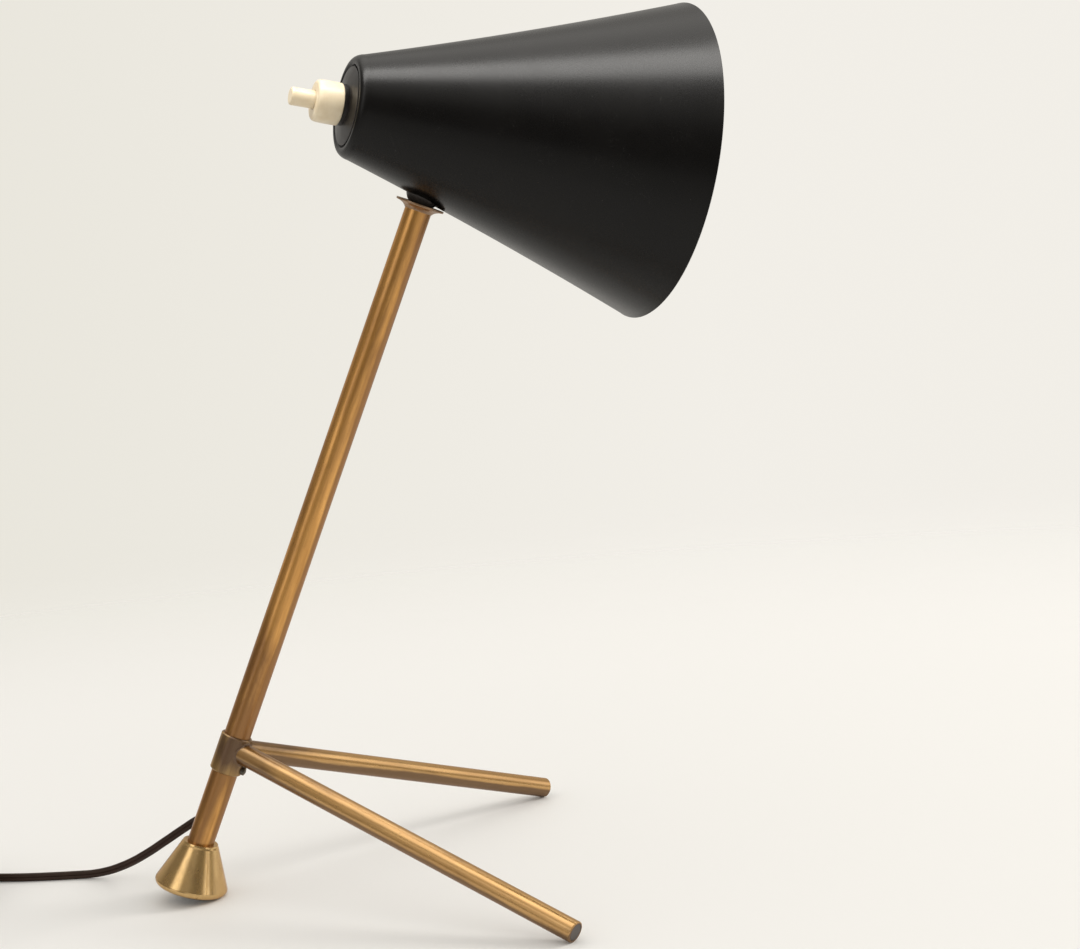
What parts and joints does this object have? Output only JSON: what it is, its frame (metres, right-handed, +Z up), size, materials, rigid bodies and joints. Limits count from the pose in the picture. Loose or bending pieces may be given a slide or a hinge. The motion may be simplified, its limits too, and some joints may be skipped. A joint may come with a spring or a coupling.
{
  "type": "table lamp",
  "caption": "Tripod table lamp: leaning tube stem on a turned foot, splayed tube legs, flared spun shade on a ball swivel with push switch, flex and plug.",
  "frame": {"origin": "on the surface that the lamp stands on, under the middle of the lamp without its flex", "axes": "+Z up; +X the way the stem leans, from the turned foot towards the legs' ends; +Y to the far leg"},
  "size_m": [0.5295, 0.2306, 0.3826],
  "materials": {
    "brass_satin": "aged satin brass tube",
    "brass_turned": "turned brass, fine lathe marks",
    "brass_patina": "dark patinated brass",
    "shade_black": "satin black paint outside, white paint inside",
    "ivory_plastic": "aged ivory plastic, polished",
    "dark_plastic": "black moulded plastic",
    "dark_rubber": "black rubber end plug",
    "holder_cream": "cream moulded lamp holder",
    "spring_steel": "bright spring steel",
    "wire_cover": "insulated wire",
    "cap_metal": "plain bulb cap",
    "opal_glass": "opal white glass",
    "cord_brown": "dark brown twin flex, slightly shiny",
    "plug_brown": "dark brown moulded plug",
    "pin_metal": "nickel plated brass"
  },
  "bodies": {
    "base": {"stem_tube": "brass_satin", "foot_cone": "brass_turned", "leg_collar": "brass_patina", "leg_near": "brass_satin", "leg_far": "brass_satin", "leg_plug_near": "dark_rubber", "leg_plug_far": "dark_rubber", "stem_cup": "brass_patina", "swivel_nipple": "brass_satin", "disc_spring": "spring_steel", "swivel_nut": "brass_satin", "cord_bushing": "dark_plastic", "stem_wires": "wire_cover", "cord_free": "cord_brown", "cord_coil": "cord_brown", "cord_tail": "cord_brown", "coil_tie": "dark_plastic", "plug_relief": "plug_brown", "plug_body": "plug_brown", "plug_pin_left": "pin_metal", "plug_pin_right": "pin_metal"},
    "swivel": {"cap_washer": "brass_satin"},
    "shade": {"swivel_ball": "brass_satin", "shade_shell": "shade_black", "nose_ring": "dark_plastic", "switch_nose": "ivory_plastic", "holder_nipple": "brass_satin", "holder_nut": "brass_satin", "holder_shell": "holder_cream", "holder_core": "holder_cream", "screw_shell": "brass_satin", "centre_contact": "brass_satin", "holder_wires": "wire_cover", "bulb_cap": "cap_metal", "bulb_glass": "opal_glass"},
    "button": {"switch_button": "ivory_plastic"}
  },
  "joints": [
    {"name": "shade_pan", "type": "hinge", "parent": "base", "child": "swivel", "pos_m": [0.00878, 0, 0.30884], "axis": [0.4099, 0, 0.9121], "range_deg": [-150, 150]},
    {"name": "shade_tilt", "type": "hinge", "parent": "swivel", "child": "shade", "pos_m": [0.00878, 0, 0.30884], "axis": [0.2545, -0.9603, -0.1144], "range_deg": [0, 17]},
    {"name": "switch_press", "type": "slide", "parent": "shade", "child": "button", "axis": [0.9302, 0.2754, -0.2428], "range_m": [0, 0.003], "stiffness_N_per_m": 300, "springref_m": -0.003}
  ]
}
